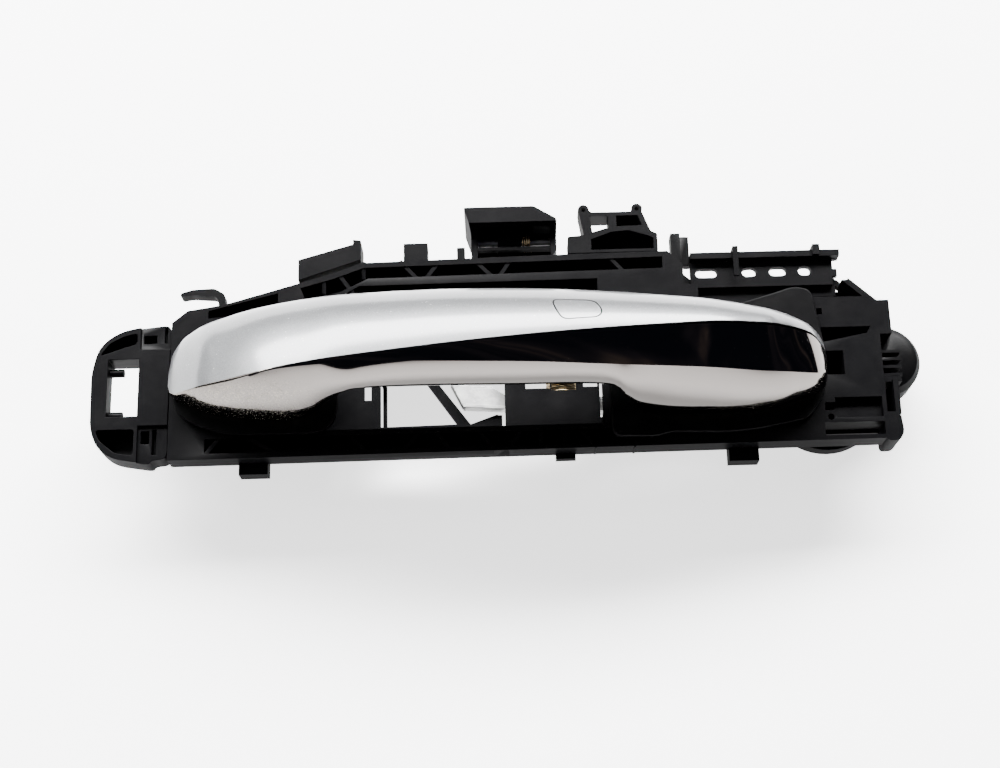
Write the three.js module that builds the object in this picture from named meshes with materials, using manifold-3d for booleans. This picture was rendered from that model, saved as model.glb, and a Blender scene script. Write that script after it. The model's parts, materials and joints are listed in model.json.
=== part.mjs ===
// Outside door handle of a car with its carrier, lying on its back.
// Millimetres. X runs along the handle to its pulling end, Y to the car's roof, Z out of the door.
import * as THREE from 'three';
import { mergeVertices } from 'three/addons/utils/BufferGeometryUtils.js';
import Module from 'manifold-3d';

const wasm = await Module();
wasm.setup();

// ---- Driving dimensions ------------------------------------------------------------------

const gap = 0.3; // air between neighbouring pieces
const wall = 2; // moulded walls of the carrier
const rib = 1.3; // moulded ribs

const gripLength = 216.5; // tip to tip
const gripShell = 2.4; // painted cover
const gripTub = 2.6; // plated tub under it
const gripGap = 57; // underside of the bar above the resting plane
const footRise = 1.3; // air between a grip foot and its pad
const fingerFront = [42, 63]; // where the front finger curve starts and ends, from the front tip
const fingerRear = [58, 72]; // the same at the rear, from the rear tip

const hingeX = -104; // front pivot of the grip
const hingeZ = 25;
const hingePinR = 2.5;
const hingeInset = 8; // front tip to pivot
const pullInset = 46.5; // rear tip to pull hook
const armY = -17; // middle of both arms
const armWidth = 10;

const shaftZ = 16; // bell crank shaft
const shaftR = 3;
const bushWall = 1.2;
const leverReach = 39.5; // shaft to the pull hook
const leverThick = 5;
const crankTilt = 8; // degrees below level on the pull side, at rest
const springR = 5.2; // return spring, centre line
const springWire = 0.6;
const springTurns = 5;

const frontZ = 34; // rims, against the inside of the door skin
const deckZ = 18.5; // floor of the finger bowl
const deckThick = 2.5;
const padThick = 2.5; // rubber between carrier and door skin
const bottomY = -42.4; // outer faces of the two rims
const topY = 27.4;
const rimWidth = 7;
const rimDepth = 8.5;
const webZ = 26.5; // raised floor over the bell crank
const screwR = 2;

const discR = 12.4; // rubber plug
const cupR = 20; // blanked lock position
const cupHeight = 15.4;
const railTravel = 3.5; // to the pulling end

// ---- Places worked out from them ---------------------------------------------------------

const tipFrontX = hingeX - hingeInset;
const tipRearX = tipFrontX + gripLength;
const pullX = tipRearX - pullInset;
const crankX = pullX - leverReach;
const padTop = frontZ + gap + padThick;
const footZ = padTop + footRise;
const seamX = tipFrontX - 1.2;
const endX = tipRearX + 20.5;
const fore = (x) => hingeX + x;
const aft = (x) => crankX + x;
const rear = (x) => endX + x;

// ---- Solids ------------------------------------------------------------------------------

// Manifold solid from a three.js geometry.
function solid(geometry) {
  const clean = geometry.index ? geometry.toNonIndexed() : geometry.clone();
  clean.deleteAttribute('normal');
  clean.deleteAttribute('uv');
  const merged = mergeVertices(clean, 1e-4);
  return new wasm.Manifold(new wasm.Mesh({
    numProp: 3,
    vertProperties: new Float32Array(merged.attributes.position.array),
    triVerts: new Uint32Array(merged.index.array),
  }));
}

// Polygon in the XY plane, extruded between two heights. Its corners may be rounded off, each by a curve
// that starts at most a given distance before the corner.
function slab(points, z0, z1, corner = 0) {
  const corners = points.map(([x, y]) => new THREE.Vector2(x, y));
  return extruded(corner > 0 ? roundedShape(corners, corner) : new THREE.Shape(corners), z0, z1);
}

function roundedShape(corners, reach) {
  const shape = new THREE.Shape();
  const towards = (from, to) => from.clone().lerp(to, Math.min(0.48, reach / from.distanceTo(to)));
  corners.forEach((corner, i) => {
    const enter = towards(corner, corners.at(i - 1));
    const leave = towards(corner, corners[(i + 1) % corners.length]);
    if (i === 0) shape.moveTo(enter.x, enter.y);
    else shape.lineTo(enter.x, enter.y);
    shape.quadraticCurveTo(corner.x, corner.y, leave.x, leave.y);
  });
  return shape;
}

function extruded(shape, z0, z1, curveSegments = 4) {
  const geometry = new THREE.ExtrudeGeometry(shape, { depth: z1 - z0, bevelEnabled: false, curveSegments });
  geometry.translate(0, 0, z0);
  return solid(geometry);
}

function box(x0, x1, y0, y1, z0, z1) {
  const geometry = new THREE.BoxGeometry(x1 - x0, y1 - y0, z1 - z0);
  geometry.translate((x0 + x1) / 2, (y0 + y1) / 2, (z0 + z1) / 2);
  return solid(geometry);
}

// Polygon in the XZ plane, extruded along Y.
function profileXZ(points, y0, y1) {
  const shape = new THREE.Shape(points.map(([x, z]) => new THREE.Vector2(x, z)));
  const geometry = new THREE.ExtrudeGeometry(shape, { depth: y1 - y0, bevelEnabled: false });
  geometry.rotateX(Math.PI / 2);
  geometry.translate(0, y1, 0);
  return solid(geometry);
}

// Polygon in the YZ plane, extruded along X.
function profileYZ(points, x0, x1) {
  const shape = new THREE.Shape(points.map(([y, z]) => new THREE.Vector2(y, z)));
  const geometry = new THREE.ExtrudeGeometry(shape, { depth: x1 - x0, bevelEnabled: false });
  geometry.rotateX(Math.PI / 2);
  geometry.rotateZ(Math.PI / 2);
  geometry.translate(x0, 0, 0);
  return solid(geometry);
}

// Cylinder along an axis between two places on it, centred on the other two coordinates.
function rod(axis, a, b, start, end, radius, sides = 24) {
  const geometry = new THREE.CylinderGeometry(radius, radius, end - start, sides);
  const middle = (start + end) / 2;
  if (axis === 'x') {
    geometry.rotateZ(-Math.PI / 2);
    geometry.translate(middle, a, b);
  } else if (axis === 'y') {
    geometry.translate(a, middle, b);
  } else {
    geometry.rotateX(Math.PI / 2);
    geometry.translate(a, b, middle);
  }
  return solid(geometry);
}

// Straight rib between two points of the XY plane.
function ribBetween([x0, y0], [x1, y1], z0, z1, thick = rib) {
  const length = Math.hypot(x1 - x0, y1 - y0);
  const geometry = new THREE.BoxGeometry(length, thick, z1 - z0);
  geometry.rotateZ(Math.atan2(y1 - y0, x1 - x0));
  geometry.translate((x0 + x1) / 2, (y0 + y1) / 2, (z0 + z1) / 2);
  return solid(geometry);
}

const join = (parts) => parts.reduce((sum, part) => sum.add(part));
const cut = (body, parts) => parts.reduce((rest, part) => rest.subtract(part), body);

// Coil spring with flat ground ends, along Y, around (x, z).
function coil(x, z, y0, y1, radius, wire, turns) {
  class Helix extends THREE.Curve {
    getPoint(t, target = new THREE.Vector3()) {
      const angle = t * turns * 2 * Math.PI;
      const y = y0 + wire + t * (y1 - y0 - 2 * wire);
      return target.set(radius * Math.cos(angle), y, radius * Math.sin(angle));
    }
  }
  const ring = new THREE.Shape();
  ring.absarc(0, 0, wire, 0, 2 * Math.PI, false);
  const geometry = new THREE.ExtrudeGeometry(ring, {
    steps: turns * 12, extrudePath: new Helix(), curveSegments: 3, bevelEnabled: false,
  });
  geometry.translate(x, 0, z);
  return solid(geometry);
}

// ---- Looks and nodes ---------------------------------------------------------------------

const looks = {
  carrierPlastic: { color: 0x17181a, roughness: 0.55, metalness: 0 },
  blackPlastic: { color: 0x1f2023, roughness: 0.6, metalness: 0 },
  rubber: { color: 0x222325, roughness: 0.85, metalness: 0 },
  silverPaint: { color: 0xbfc1c3, roughness: 0.3, metalness: 0.6 },
  chrome: { color: 0xd9dbdd, roughness: 0.08, metalness: 1 },
  zinc: { color: 0x9c9c99, roughness: 0.5, metalness: 0.9 },
  steel: { color: 0x8a8c8f, roughness: 0.35, metalness: 1 },
  springSteel: { color: 0xa88c4f, roughness: 0.35, metalness: 1 },
  ferrite: { color: 0x3a3633, roughness: 0.7, metalness: 0.1 },
  board: { color: 0x24523a, roughness: 0.5, metalness: 0 },
};

const assembly = new THREE.Group();
const handle = new THREE.Group();
assembly.add(handle);

function addPiece(name, body, look) {
  const mesh = body.getMesh();
  const geometry = new THREE.BufferGeometry();
  geometry.setAttribute('position', new THREE.BufferAttribute(new Float32Array(mesh.vertProperties), 3));
  geometry.setIndex(new THREE.BufferAttribute(new Uint32Array(mesh.triVerts), 1));
  geometry.computeVertexNormals();
  const piece = new THREE.Mesh(geometry, new THREE.MeshStandardMaterial(looks[look]));
  piece.name = name;
  handle.add(piece);
  return piece;
}

// ---- Grip surface ------------------------------------------------------------------------

// Smooth curve through [place, value] pairs, place in parts of the grip's length.
function through(points) {
  return (u) => {
    let i = 0;
    while (i < points.length - 2 && u > points[i + 1][0]) i += 1;
    const slope = (k) => {
      const low = points[Math.max(k - 1, 0)];
      const high = points[Math.min(k + 1, points.length - 1)];
      return (high[1] - low[1]) / (high[0] - low[0]);
    };
    const span = points[i + 1][0] - points[i][0];
    const t = (u - points[i][0]) / span;
    const [a, b] = [points[i][1], points[i + 1][1]];
    const [m, n] = [slope(i) * span, slope(i + 1) * span];
    return a + t * (m + t * (3 * (b - a) - 2 * m - n + t * (m + n - 2 * (b - a))));
  };
}

const coverSteps = 8; // facets across the cover
const stationStep = 5; // facets along the grip
const seamGap = 0.5; // open line between cover and tub
const coverShare = 0.4; // most that a wall takes of the thin tips
const tubShare = 0.47;
const coreInset = [14, 12]; // tips to the core inside

// The long lines of the grip: Y, and height above the feet.
const upperEdgeY = through([[0, -13], [0.012, -6], [0.037, -1.8], [0.08, 1], [0.2, 3.6], [0.31, 4],
  [0.52, 3.5], [0.73, 1], [0.89, -1.8], [0.955, -4.5], [0.985, -7.8], [0.995, -11], [1, -16.5]]);
const upperEdgeRise = through([[0, 3], [0.037, 7], [0.08, 11], [0.2, 19.5], [0.31, 24], [0.5, 26],
  [0.73, 24], [0.89, 17], [0.955, 11.5], [1, 5]]);
const partingY = through([[0, -19.5], [0.02, -23.4], [0.08, -23.7], [0.2, -22], [0.31, -20.6], [0.52, -17],
  [0.73, -13.6], [0.89, -10.7], [0.955, -10.2], [0.985, -12.4], [1, -17.5]]);
const partingRise = through([[0, 4.5], [0.037, 13], [0.08, 20], [0.2, 31.4], [0.31, 36.5], [0.5, 38.8],
  [0.73, 36.5], [0.89, 28], [0.955, 20.5], [0.985, 14], [1, 7]]);
const creaseY = through([[0, -20.6], [0.02, -24.6], [0.08, -24.8], [0.2, -23], [0.31, -22.9], [0.52, -24.2],
  [0.8, -25.9], [0.955, -24.4], [1, -19.8]]);
const creaseRise = through([[0, 3.7], [0.037, 11.6], [0.08, 18.7], [0.2, 30.1], [0.31, 34], [0.5, 35],
  [0.73, 32], [0.89, 22.5], [0.955, 15], [1, 6]]);
const lowerEdgeY = through([[0, -21.5], [0.037, -26.5], [0.08, -29.6], [0.13, -31], [0.19, -31.6],
  [0.215, -31],
  [0.26, -28.4], [0.33, -27.4], [0.52, -27.7], [0.65, -28.2], [0.69, -30.6], [0.735, -32.6], [0.79, -33.2],
  [0.84, -33.2], [0.9, -32.2], [0.955, -29.4], [0.985, -27], [1, -23]]);

const smoothStep = (t) => {
  const s = Math.min(Math.max(t, 0), 1);
  return s * s * (3 - 2 * s);
};

// Height of the grip's underside: feet at both ends, the bar over the finger gap between.
function undersideZ(x) {
  const front = smoothStep((x - tipFrontX - fingerFront[0]) / (fingerFront[1] - fingerFront[0]));
  const back = smoothStep((tipRearX - fingerRear[0] - x) / (fingerRear[1] - fingerRear[0]));
  return footZ + (gripGap - footZ) * Math.min(front, back);
}

const bezier = (a, b, c, t) => a.map((v, k) => v * (1 - t) ** 2 + 2 * b[k] * t * (1 - t) + c[k] * t * t);

// Section of the grip at one station: cover side and tub side as [y, z] points.
function gripSection(x) {
  const u = (x - tipFrontX) / gripLength;
  const top = [upperEdgeY(u), footZ + upperEdgeRise(u)];
  const parting = [partingY(u), footZ + partingRise(u)];
  const crease = [creaseY(u), footZ + creaseRise(u)];
  const under = undersideZ(x);
  const low = Math.min(under, top[1] - 1.5);
  const lower = [lowerEdgeY(u), low + Math.min(4, (crease[1] - low) * 0.35)];
  const roundIn = [lower[0] + Math.min(5, (top[0] - lower[0]) * 0.25), low];
  const roundOut = [top[0] - Math.min(5, (top[0] - lower[0]) * 0.25), low];
  const cover = [];
  for (let i = 0; i <= coverSteps; i += 1) {
    const shoulder = [top[0] + (parting[0] - top[0]) * 0.22, top[1] + (parting[1] - top[1]) * 0.86];
    cover.push(bezier(top, shoulder, parting, i / coverSteps));
  }
  const tub = [];
  const band = [(parting[0] * 0.5 + crease[0] * 0.5), (parting[1] * 0.5 + crease[1] * 0.5) + 0.3];
  for (let i = 0; i < 3; i += 1) tub.push(bezier(parting, band, crease, i / 3));
  const cheek = [lower[0] + (crease[0] - lower[0]) * 0.12, lower[1] + (crease[1] - lower[1]) * 0.6];
  for (let i = 0; i < 5; i += 1) tub.push(bezier(crease, cheek, lower, i / 5));
  for (let i = 0; i < 3; i += 1) tub.push(bezier(lower, [lower[0], low], roundIn, i / 3));
  for (let i = 0; i < 3; i += 1) {
    tub.push([roundIn[0] + (roundOut[0] - roundIn[0]) * (i / 3), low]);
  }
  for (let i = 0; i < 4; i += 1) tub.push(bezier(roundOut, [top[0], low], top, i / 4));
  tub.push(top);
  const all = [top, parting, crease, lower, roundIn, roundOut];
  const centre = [0, 1].map((k) => all.reduce((sum, p) => sum + p[k], 0) / all.length);
  return { cover, tub, centre };
}

// Points moved towards a centre by a depth, but never more than a share of the way.
function sunk(points, centre, depth, share) {
  return points.map(([y, z]) => {
    const reach = Math.hypot(centre[0] - y, centre[1] - z);
    const step = Math.min(depth, reach * share) / reach;
    return [y + (centre[0] - y) * step, z + (centre[1] - z) * step];
  });
}

// Point a short way from one point towards another.
function near([y0, z0], [y1, z1], distance) {
  const part = Math.min(0.5, distance / Math.hypot(y1 - y0, z1 - z0));
  return [y0 + (y1 - y0) * part, z0 + (z1 - z0) * part];
}

// Closed solid through rings of [y, z] points at stations along X.
function loft(stations, ringAt) {
  const rings = stations.map((x) => ringAt(x).map(([y, z]) => [x, y, z]));
  const count = rings[0].length;
  const index = [];
  for (let s = 0; s < rings.length - 1; s += 1) {
    for (let i = 0; i < count; i += 1) {
      const j = (i + 1) % count;
      const [a, b, c, d] = [s * count + i, s * count + j, (s + 1) * count + j, (s + 1) * count + i];
      index.push(a, b, c, a, c, d);
    }
  }
  const cap = (s, flip) => {
    const contour = rings[s].map(([, y, z]) => new THREE.Vector2(y, z));
    const turned = THREE.ShapeUtils.isClockWise(contour);
    THREE.ShapeUtils.triangulateShape(contour, []).forEach(([a, b, c]) => {
      const face = turned === flip ? [a, b, c] : [a, c, b];
      index.push(...face.map((v) => v + s * count));
    });
  };
  cap(0, true);
  cap(rings.length - 1, false);
  const geometry = new THREE.BufferGeometry();
  geometry.setAttribute('position', new THREE.Float32BufferAttribute(rings.flat(2), 3));
  geometry.setIndex(index);
  return solid(geometry);
}

// Stations along the grip, close together at the tips.
function gripStations() {
  const edge = [0, 0.8, 2.4, 5, 9];
  const middle = Math.round((gripLength - 18) / stationStep);
  const between = Array.from({ length: middle - 1 }, (_, i) => 9 + ((i + 1) / middle) * (gripLength - 18));
  return [...edge, ...between, ...edge.map((d) => gripLength - d).reverse()].map((d) => tipFrontX + d);
}

// Stations of a shorter inner piece, on the same grid.
function innerStations(from, to) {
  return [from, ...gripStations().filter((x) => x > from + 1 && x < to - 1), to];
}

function coverRing(x, depth) {
  const { cover, centre } = gripSection(x);
  return [...cover, ...sunk(cover, centre, depth, coverShare).reverse()];
}

// Ring of the tub: its outside, then back under the cover.
function tubRing(x) {
  const { cover, tub, centre } = gripSection(x);
  const first = near(tub[0], tub[1], seamGap);
  const last = near(tub[tub.length - 1], tub[tub.length - 2], seamGap);
  const lid = sunk([last, ...cover.slice(1, -1), first], centre, gripShell + gap, tubShare);
  return [first, ...tub.slice(1, -1), last, ...lid];
}

// Ring inside the tub, at a depth below its outside and another below the cover's.
function innerRing(x, inset, underCover) {
  const { cover, tub, centre } = gripSection(x);
  const skin = sunk(tub.slice(1, -1), centre, inset, tubShare);
  return [...skin, ...sunk(cover.slice(1, -1), centre, underCover, tubShare)];
}

const touchOutline = [[13.8, -3.9], [27.4, -4.6], [30, -8.6], [28.7, -11.2], [16.8, -11.9], [14.4, -7]];

function touchPrism(inset) {
  const centreX = 22;
  const centreY = -8;
  const scale = 1 - inset / 5;
  const points = touchOutline.map(([x, y]) => [
    aft(centreX - 18.5 + (x - centreX) * scale), centreY + (y - centreY) * scale,
  ]);
  return slab(points, gripGap + 4, footZ + 50, 2);
}

const screwSeatZ = footZ - 2.8;
const screwHead = 1.6; // head, wider than the shank all round
const screwHeadThick = 2.4;

// Hole of a grip screw, with room for its head below the seat.
function gripScrewHole(x) {
  const shank = rod('z', x, armY, screwSeatZ - 1, footZ + 9, screwR + gap, 12);
  const head = rod('z', x, armY, screwSeatZ - 12, screwSeatZ, screwR + screwHead + gap, 16);
  return join([shank, head]);
}

const frontScrewX = fore(14);
const rearScrewX = pullX - 4;

function makeGrip() {
  const stations = gripStations();
  const cover = loft(stations, (x) => coverRing(x, gripShell));
  addPiece('grip_outer_shell', cut(cover, [touchPrism(0)]), 'silverPaint');
  addPiece('lock_touch_pad', cover.intersect(touchPrism(gap)), 'silverPaint');
  const ends = [tipFrontX + coreInset[0], tipRearX - coreInset[1]];
  const hollow = loft(innerStations(...ends), (x) => innerRing(x, gripTub, seamGap));
  const screws = [gripScrewHole(frontScrewX), gripScrewHole(rearScrewX)];
  const tub = loft(stations, tubRing);
  addPiece('grip_inner_shell', cut(tub, [hollow, ...screws]), 'chrome');
  const core = loft(innerStations(ends[0] + 1, ends[1] - 1),
    (x) => innerRing(x, gripTub + 2 * gap, gripShell + 3 * gap));
  const antennaBed = box(aft(-78), aft(-14), armY - 4, armY + 4, gripGap + 4, footZ + 60);
  const boardBed = box(aft(-6), aft(34), -16, -4, gripGap + 5, footZ + 60);
  addPiece('grip_core', cut(core, [antennaBed, boardBed, ...screws]), 'blackPlastic');
  const rod = box(aft(-76), aft(-16), armY - 3.4, armY + 3.4, gripGap + 4.3, gripGap + 8.3);
  addPiece('antenna_rod', rod, 'ferrite');
  addPiece('sensor_board', box(aft(-5), aft(33), -15.5, -4.5, gripGap + 5.3, gripGap + 6.7), 'board');
}

// Arm that carries the grip's front foot on the hinge pin.
function makeHingeArm() {
  const y0 = armY - armWidth / 2;
  const y1 = armY + armWidth / 2;
  const neck = profileXZ([
    [hingeX - 2, hingeZ - 4], [fore(20), footZ - 6], [fore(20), footZ - gap], [fore(4), footZ - gap],
    [hingeX - 3, hingeZ + 3.5],
  ], y0, y1);
  const eye = rod('y', hingeX, hingeZ, y0, y1, hingePinR + 2.2);
  const pin = rod('y', hingeX, hingeZ, y0 - 1, y1 + 1, hingePinR + gap);
  addPiece('hinge_arm', cut(join([neck, eye]), [pin, gripScrewHole(frontScrewX)]), 'blackPlastic');
}

// Arm under the rear foot, with a toe that reaches below the bell crank's lever.
const toeZ = [3.6, 7.4];
const toeFall = 1.2; // towards its end, clear of the turning lever

function makePullArm() {
  const y0 = armY - armWidth / 2;
  const y1 = armY + armWidth / 2;
  const arm = profileXZ([
    [pullX - 8, footZ - gap], [pullX - 8, footZ - 4], [pullX + 3, footZ - 7], [pullX + 3, toeZ[1]],
    [pullX - 4, toeZ[1] - toeFall], [pullX - 4, toeZ[0]], [pullX + 7.5, toeZ[0]], [pullX + 8.5, footZ - gap],
  ], y0, y1);
  addPiece('pull_arm', cut(arm, [gripScrewHole(rearScrewX)]), 'blackPlastic');
}

function makeGripScrew(name, x) {
  const top = screwSeatZ - gap;
  const head = rod('z', x, armY, top - screwHeadThick, top, screwR + screwHead, 16);
  const shank = rod('z', x, armY, top - 0.5, footZ + 8.5, screwR, 12);
  addPiece(name, join([head, shank]), 'steel');
}

// ---- Carrier -----------------------------------------------------------------------------

const bowlFront = fore(40);
const bowlRear = aft(12.5);
const cavityY = [armY - 12, armY + 9]; // crank cavity, across
const armSlotX = [pullX - 12, pullX + 12.5];

function carrierOutline() {
  return [
    [seamX, bottomY], [endX, bottomY + 1.4], [endX, 7.5], [rear(-11.4), 18], [aft(46.3), 18],
    [aft(36.8), topY], [aft(-3.5), topY - 0.4], [fore(54.6), topY - 1.6], [fore(47), 22.8],
    [fore(33.5), 18.9], [fore(8), 11.8], [fore(-4), 10], [seamX, 5.8],
  ];
}

// Pocket above the deck under the grip, between the inner walls of the rims.
function bowlPocket() {
  return slab([
    [bowlFront, bottomY + rimWidth + wall], [bowlRear, bottomY + rimWidth + wall],
    [bowlRear, topY - rimWidth - wall - 0.4], [fore(54), topY - rimWidth - wall - 1],
    [fore(47), 13.4], [bowlFront, 9.5],
  ], deckZ, frontZ + 1);
}

function rimChannels() {
  const low = bottomY + wall;
  const high = low + rimWidth - wall;
  const floorZ = frontZ - rimDepth + wall;
  const bottom = box(fore(3), aft(30), low, high, floorZ, frontZ + 1);
  const top = slab([[fore(34), 17.2], [fore(45), 20.2], [fore(55.5), topY - 3.4], [aft(35), topY - wall],
    [aft(35), topY - rimWidth + 0.8], [aft(-3.5), topY - rimWidth + 0.2], [fore(57), topY - rimWidth - 0.4],
    [fore(48), 15.6], [fore(36), 12.5]], floorZ, frontZ + 1);
  const pocket = slab([[fore(3), 9.8], [fore(26.5), 15.6], [fore(26.5), 9.4], [fore(3), 7]],
    floorZ, frontZ + 1);
  return [bottom, top, pocket];
}

// Ribs across the two channels, as [place on the outer wall, place on the inner wall].
function rimRibs() {
  const z0 = frontZ - rimDepth;
  const z1 = frontZ - 0.5;
  const low = [bottomY + 1, bottomY + rimWidth + 0.6];
  const high = [topY - 1, topY - rimWidth - 0.4];
  const bottomRibs = [
    [fore(2.5), fore(8)], [fore(28), fore(16.5)], [fore(57), fore(50.5)], [aft(-54.5), aft(-48.5)],
    [aft(-38), aft(-43)], [aft(-23.5), aft(-29)], [aft(-19.5), aft(-14.5)], [aft(-8.4), aft(-8.4)],
    [aft(-0.5), aft(-0.5)], [aft(10), aft(4)], [aft(22), aft(30)],
  ].map(([outer, inner]) => ribBetween([outer, low[0]], [inner, low[1]], z0, z1));
  const topRibs = [
    [fore(42), fore(42)], [fore(47.5), fore(52)], [fore(55.5), fore(55.5)], [aft(-54.6), aft(-49)],
    [aft(-40.7), aft(-45.6)], [aft(-29.6), aft(-23.3)], [aft(-16.5), aft(-20.5)], [aft(16.5), aft(22)],
  ].map(([outer, inner]) => ribBetween([outer, high[0] - (outer < fore(50) ? 5 : 0)],
    [inner, high[1] - (outer < fore(50) ? 5 : 0)], z0, z1));
  return [...bottomRibs, ...topRibs];
}

// Windows through the deck, seen past the bar.
function deckWindows() {
  const z0 = deckZ - deckThick - 3;
  const z1 = webZ + 1;
  const far = -13;
  const low = armY - 11.3;
  return [
    slab([[aft(-62.5), low], [aft(-36.2), low + 0.4], [aft(-46.5), far], [aft(-62.5), far]], z0, z1),
    slab([[aft(-31.8), low + 0.3], [aft(-21), low + 4.2], [aft(-21), far], [aft(-42.8), far]], z0, z1),
    box(aft(-68), aft(-65.6), -18.6, far, z0, z1),
    box(aft(-12.9), aft(-4.6), -18.4, far, z0 + 4, z1),
    box(aft(-4.2), aft(4.2), -19.2, far + 0.4, z0 + 4, z1),
    box(aft(6.6), aft(11.4), -18.2, far, z0 + 4, z1),
  ];
}

// Space for the bell crank and the pull arm, open at the back.
function crankCavity() {
  const under = box(aft(-47), armSlotX[1], cavityY[0], cavityY[1], -1, deckZ - deckThick);
  const below = box(aft(-21), aft(13), cavityY[0], cavityY[1], -1, webZ - deckThick);
  const behind = box(aft(12), armSlotX[1], cavityY[0], cavityY[1], -1, frontZ - deckThick);
  const slot = box(armSlotX[0], armSlotX[1], armY - 7.5, armY + 7.5, -1, frontZ + 1);
  const lever = box(aft(-22.5), aft(-19), armY - 8, armY + 4, deckZ - deckThick - 1, webZ - deckThick);
  const clip = box(aft(-6), aft(6), cavityY[1] + wall, shaftY[1] + 1, -1, deckZ + 1);
  return [under, below, behind, slot, lever, clip];
}

// Space for the hinge arm.
function hingeCavity(top = frontZ + 1) {
  const y0 = armY - armWidth / 2 - 1.2;
  const y1 = armY + armWidth / 2 + 1.2;
  return box(hingeX - hingePinR - 3.6, fore(22), y0, y1, hingeZ - 8, top);
}

function bearingLugs() {
  return [cavityY[0] - wall, cavityY[1]].map((y) => profileXZ([
    [aft(-9), webZ - 1], [aft(-6), shaftZ - 6], [aft(6), shaftZ - 6], [aft(9), webZ - 1],
  ], y, y + wall));
}

// Grid of ribs on the back of the deck.
function backRibs() {
  const z1 = deckZ - deckThick + 0.5;
  const z0 = z1 - 6.5;
  const across = [fore(12), fore(30), fore(48), aft(-62)].map((x) => box(x, x + rib, -36, 8, z0, z1));
  const behind = [aft(58), aft(70)].map((x) => box(x, x + rib, -32, 14, z0, z1));
  const along = [-35.5, -10, 6].map((y) => box(fore(4), aft(-48), y, y + rib, z0, z1));
  return [...across, ...behind, ...along];
}

// Hollows under the thick ends, open at the back.
function backHollows() {
  const z1 = frontZ - deckThick;
  return [
    box(fore(25), fore(37), -33, 5, -1, z1), box(aft(54), aft(66), -33, 9, -1, z1),
    box(aft(68), aft(80), -33, 9, -1, z1), box(aft(15), aft(52), -5, 14, -1, z1),
    box(hingeX - 6, fore(22), -33, -26, -1, z1), box(hingeX - 6, fore(22), -8, 3, -1, z1),
  ];
}

const postR = 4;
const postPlaces = () => [[fore(6), -31], [fore(6), 0.8], [aft(-40), 13.4]];

// Posts that hold the carrier off the inner door sheet.
function restPosts() {
  return postPlaces().map(([x, y]) => rod('z', x, y, 0, deckZ - deckThick + 0.5, postR, 20));
}

// Long moulded features of the lower edge: two locating tongues and a low bump.
function edgeTongues() {
  const tongue = (x, width, reach, thick) => box(x, x + width, bottomY - reach, bottomY + 4,
    frontZ - 7 - thick, frontZ - 7);
  return [tongue(fore(13.4), 9.7, 3.6, 6), tongue(aft(54.1), 10, 3.2, 6), tongue(aft(-3.5), 6.6, 1, 3)];
}

// Hook that the wiring harness hangs in, on the upper front edge.
function harnessHook() {
  return slab([
    [fore(6.3), 11], [fore(6.1), 14.2], [fore(5), 15.4], [fore(-3), 16.1], [fore(-6.8), 15.5],
    [fore(-6.9), 16.8], [fore(-2.6), 18], [fore(4.6), 18.3], [fore(8.2), 16.2], [fore(8.8), 11.4],
  ], frontZ - 6, frontZ - 1, 1);
}

function upperTabs() {
  const tab = (x0, x1, y1, z0, z1) => box(x0, x1, topY - 3, y1, z0, z1);
  return [
    tab(aft(-53.5), aft(-45.2), 34.2, frontZ - 10, frontZ - 4),
    tab(aft(-35.1), aft(-32.4), 31.8, frontZ - 8, frontZ - 3),
    tab(aft(38.6), aft(45.1), 35.4, frontZ - 10, frontZ - 4),
    box(aft(38.6), aft(41), 16, topY, frontZ - 10, frontZ - 4),
  ];
}

// Pulling end: walls, ledges, the square recess and the finger-like stops beside the rubber plug.
function rearBlocks() {
  const topZ = frontZ;
  const fin = (y) => box(rear(-2), rear(6.4), y - 0.5, y + 0.5, topZ - 9, topZ - 1);
  const fins = [-10.6, -13.3, -16, -18.8].map(fin);
  const bar = box(rear(-1.6), rear(4), -4.6, 7.5, clampZ + 4.2, topZ);
  const ledge = box(rear(-18), rear(6), -21.3, -19.4, topZ - 12, topZ - 1);
  const slotWall = box(rear(2.8), rear(4.6), -32.6, -20.5, topZ - 12, topZ);
  const corner = slab([[rear(-1), bottomY + 0.4], [rear(3.4), bottomY + 0.6], [rear(5), bottomY + 3.4],
    [rear(4.2), -32], [rear(-1), -32]], topZ - 14, topZ, 1.6);
  return [...fins, bar, ledge, slotWall, corner];
}

function rearPockets() {
  const z = frontZ + 1;
  const shallow = frontZ - 10;
  const deep = frontZ - 12;
  return [
    slab([[rear(-22), 16.4], [rear(-12.6), 16.4], [rear(-4.6), 9], [rear(-60), 9.4], [rear(-60), 16.4]],
      shallow, z),
    box(rear(-20.6), rear(-18.8), 2.9, 5.1, -1, z),
    slab([[rear(-21), -1.8], [rear(-2.8), -1.8], [rear(-4.4), -4.2], [rear(-20), -7.2]], deep, z),
    box(rear(-19.2), rear(-12.9), -18.6, -10.2, deep - 2, z),
    box(rear(-17), rear(-1.4), -33.6, -26.6, frontZ - 3, z),
    box(rear(-21), rear(-1.2), -39.6, -35.2, shallow, z),
    box(rear(-20.5), rear(-17), -31, -28.2, deep, z),
    rod('z', rear(-18.8), -33.2, -1, z, 1.1, 10),
  ];
}

// Underside of the carrier is stepped: the rims are shallow, the middle is deep.
function rimUndercuts() {
  const z = frontZ - rimDepth;
  return [
    box(seamX - 1, rear(6), bottomY - 1, bottomY + rimWidth - 1, -1, z),
    slab([[fore(-10), 9], [fore(34), 16.4], [fore(50), 20.6], [aft(38), 20.8],
      [aft(38), 40], [fore(-10), 40]],
      -1, z),
    box(aft(36), rear(1), 14.6, 40, -1, frontZ - 10),
  ];
}

const railY = [15.4, 27.1];
const railZ = frontZ - 7;
const railX = [aft(44.8), aft(95)];
const railRoomEnd = rear(-9);

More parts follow.
